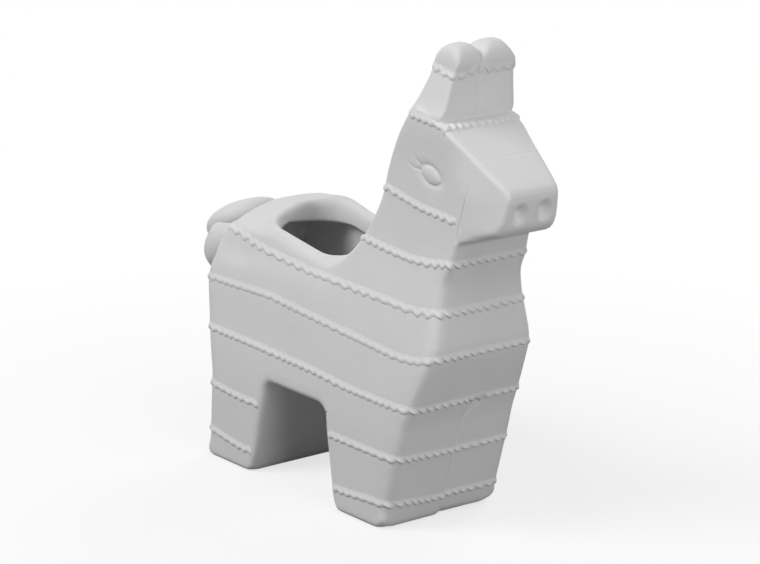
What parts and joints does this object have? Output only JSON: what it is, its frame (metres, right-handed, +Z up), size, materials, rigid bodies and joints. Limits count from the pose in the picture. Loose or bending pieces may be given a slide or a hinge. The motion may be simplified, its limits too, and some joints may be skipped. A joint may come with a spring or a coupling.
{
  "type": "animal shaped planter",
  "caption": "Standing donkey planter of matt white fired clay with fringed bands, an open planting mouth in its back, upright ears, a blunt muzzle and a tufted tail.",
  "frame": {"origin": "on the standing surface, under the middle of the object's bounding box", "axes": "+X towards the nose, +Y to the animal's left, +Z up; the casting's seam is the plane Y = 0"},
  "size_m": [0.2266, 0.0686, 0.22],
  "materials": {
    "bisque": "unglazed, matt",
    "fringe": "unglazed, matt"
  },
  "bodies": {
    "root": {"right_half_shell": "bisque", "left_half_shell": "bisque", "muzzle": "bisque", "right_ear": "bisque", "left_ear": "bisque", "upper_tail_tuft": "bisque", "lower_tail_tuft": "bisque", "right_eye": "bisque", "left_eye": "bisque", "right_hind_hoof_fringe": "fringe", "left_hind_hoof_fringe": "fringe", "right_front_hoof_fringe": "fringe", "left_front_hoof_fringe": "fringe", "right_hind_knee_fringe": "fringe", "left_hind_knee_fringe": "fringe", "right_front_knee_fringe": "fringe", "left_front_knee_fringe": "fringe", "right_belly_fringe": "fringe", "left_belly_fringe": "fringe", "right_flank_fringe": "fringe", "left_flank_fringe": "fringe", "right_back_fringe": "fringe", "left_back_fringe": "fringe", "right_neck_fringe": "fringe", "left_neck_fringe": "fringe", "right_cheek_fringe": "fringe", "left_cheek_fringe": "fringe", "right_brow_fringe": "fringe", "left_brow_fringe": "fringe", "right_ear_fringe": "fringe", "left_ear_fringe": "fringe"}
  },
  "joints": []
}
